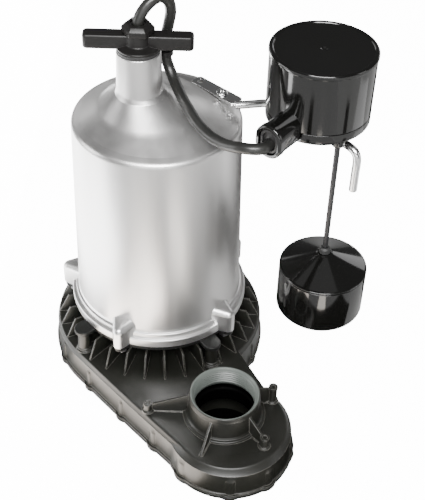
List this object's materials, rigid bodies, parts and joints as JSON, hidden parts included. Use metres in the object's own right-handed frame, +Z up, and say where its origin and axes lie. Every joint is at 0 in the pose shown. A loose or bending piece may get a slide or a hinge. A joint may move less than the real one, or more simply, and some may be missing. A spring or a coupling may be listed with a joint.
{
  "type": "submersible sump pump",
  "caption": "Submersible sump pump: silver cylindrical motor housing on a black volute base with an upright threaded discharge port, T-handle, looped cord and a rod float switch on a bracket.",
  "frame": {"origin": "on the motor axis, at the flat underside of the bottom plate", "axes": "+Z up along the motor axis; the discharge port lies towards -Y; the float switch hangs towards +X"},
  "size_m": [0.2246, 0.2786, 0.3253],
  "materials": {
    "die_cast_housing": "satin die casting",
    "base_plastic": "semi-gloss moulded black plastic",
    "black_rubber": "matte",
    "cast_plate": "cast and black coated",
    "steel": "zinc plated",
    "dark_steel": "blackened",
    "polished_steel": "polished",
    "laminations": "stacked sheet, varnished",
    "copper_winding": "enamelled wire under varnish",
    "gloss_black_plastic": "glossy moulded black plastic",
    "handle_plastic": "semi-matte charcoal plastic",
    "cord_jacket": "satin charcoal jacket",
    "brass": "machined",
    "ceramic": "ground ceramic face"
  },
  "bodies": {
    "pump": {"volute_base": "base_plastic", "bottom_plate": "base_plastic", "plate_gasket": "black_rubber", "plate_screw_1": "steel", "plate_screw_2": "steel", "plate_screw_3": "steel", "plate_screw_4": "steel", "plate_screw_5": "steel", "plate_screw_6": "steel", "plate_screw_7": "steel", "plate_screw_8": "steel", "plate_screw_9": "steel", "plate_screw_10": "steel", "plate_screw_11": "steel", "plate_screw_12": "steel", "plate_screw_13": "steel", "motor_housing": "die_cast_housing", "seal_plate": "cast_plate", "housing_seal_ring": "black_rubber", "lug_bolt_1": "steel", "lug_bolt_2": "steel", "lug_bolt_3": "steel", "lug_bolt_4": "steel", "lug_bolt_5": "steel", "pillar_screw_1": "steel", "pillar_screw_2": "steel", "pillar_screw_3": "steel", "pillar_screw_4": "steel", "stator_core": "laminations", "upper_winding": "copper_winding", "lower_winding": "copper_winding", "end_bell": "cast_plate", "thermal_protector": "handle_plastic", "upper_bearing": "steel", "lower_bearing": "steel", "seal_seat": "ceramic", "handle": "handle_plastic", "handle_seal": "black_rubber", "cord_nut": "handle_plastic", "cord_grommet": "black_rubber", "power_cord": "cord_jacket", "cord_clip": "handle_plastic", "bracket_rod": "polished_steel", "bracket_screw": "polished_steel", "switch_body": "gloss_black_plastic", "switch_base": "gloss_black_plastic", "gland_insert": "black_rubber", "snap_switch": "handle_plastic"},
    "rotor": {"shaft": "steel", "rotor": "laminations", "seal_rotor": "black_rubber", "seal_spring": "steel", "impeller": "handle_plastic", "impeller_nut": "brass"},
    "float": {"float_shell": "gloss_black_plastic", "float_cap": "gloss_black_plastic", "float_collar": "black_rubber", "float_rod": "dark_steel", "rod_stop": "brass"},
    "lever": {"switch_lever": "brass"}
  },
  "joints": [
    {"name": "rotor_spin", "type": "hinge", "parent": "pump", "child": "rotor", "pos_m": [0, 0, 0.1], "axis": [0, 0, 1], "continuous": true},
    {"name": "float_slide", "type": "slide", "parent": "pump", "child": "float", "axis": [0, 0, 1], "range_m": [0, 0.03]},
    {"name": "lever_tilt", "type": "hinge", "parent": "pump", "child": "lever", "pos_m": [0.0964, -0.0595, 0.272], "axis": [-1, 0, 0], "range_deg": [0, 47]}
  ],
  "couplings": [
    {"joint": "lever_tilt", "follows": "float_slide", "rad_per_m": 27.2}
  ]
}
